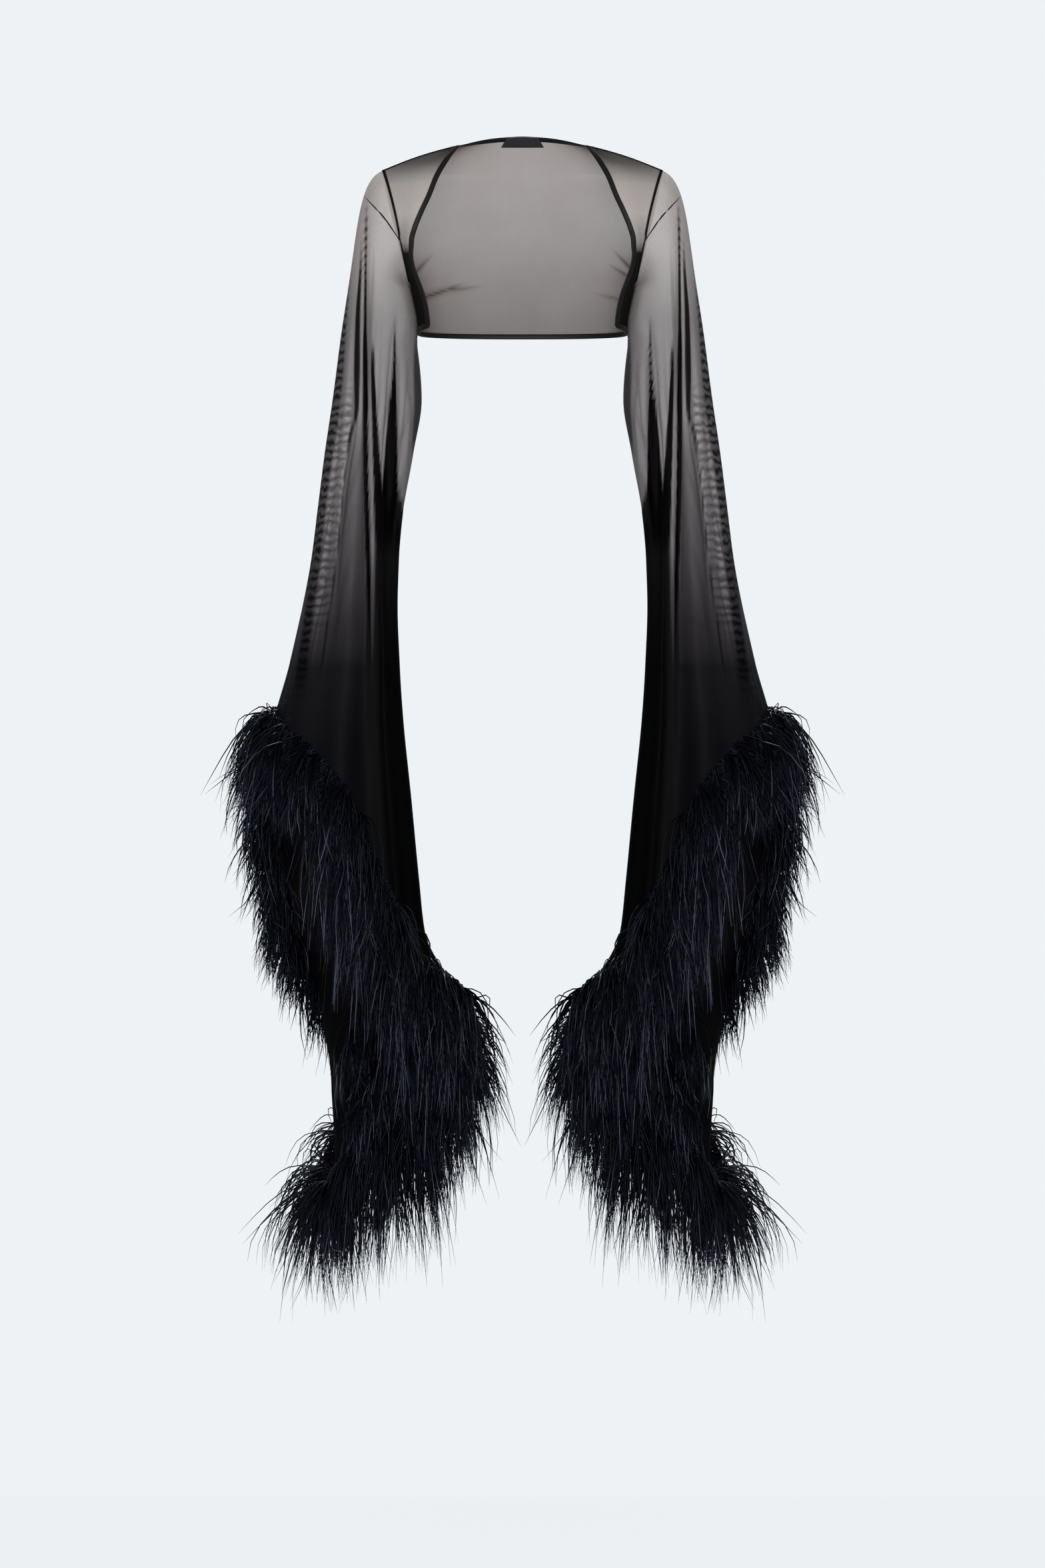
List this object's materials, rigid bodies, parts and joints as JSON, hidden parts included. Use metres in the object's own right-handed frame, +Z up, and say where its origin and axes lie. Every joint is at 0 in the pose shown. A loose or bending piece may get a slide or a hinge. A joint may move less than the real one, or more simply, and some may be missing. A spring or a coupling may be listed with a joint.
{
  "type": "sheer open-front feather shrug, cropped bolero with long feather-trimmed bell sleeves",
  "caption": "Sheer black mesh bolero shrug, open in front, with very long slanting bell sleeves edged in drooping feathers",
  "frame": {"origin": "midway between the two shoulders at the height of the side of the neck, where the wearer holds the shrug up", "axes": "+Z up, the front faces -Y, the wearer's left is +X"},
  "size_m": [0.8236, 0.3682, 1.5586],
  "materials": {
    "mesh_cloth": "fine sheer stretch mesh, black, see-through",
    "binding": "folded knitted binding, matt black",
    "label": "woven satin, black, blank",
    "feather": "soft ostrich flue, black with a cool sheen"
  },
  "bodies": {
    "root": {"back": "mesh_cloth", "front_left": "mesh_cloth", "front_right": "mesh_cloth", "sleeve_left": "mesh_cloth", "sleeve_right": "mesh_cloth", "edge_binding": "binding", "neck_label": "label", "feather_trim_left": "feather", "feather_trim_right": "feather"}
  },
  "joints": []
}
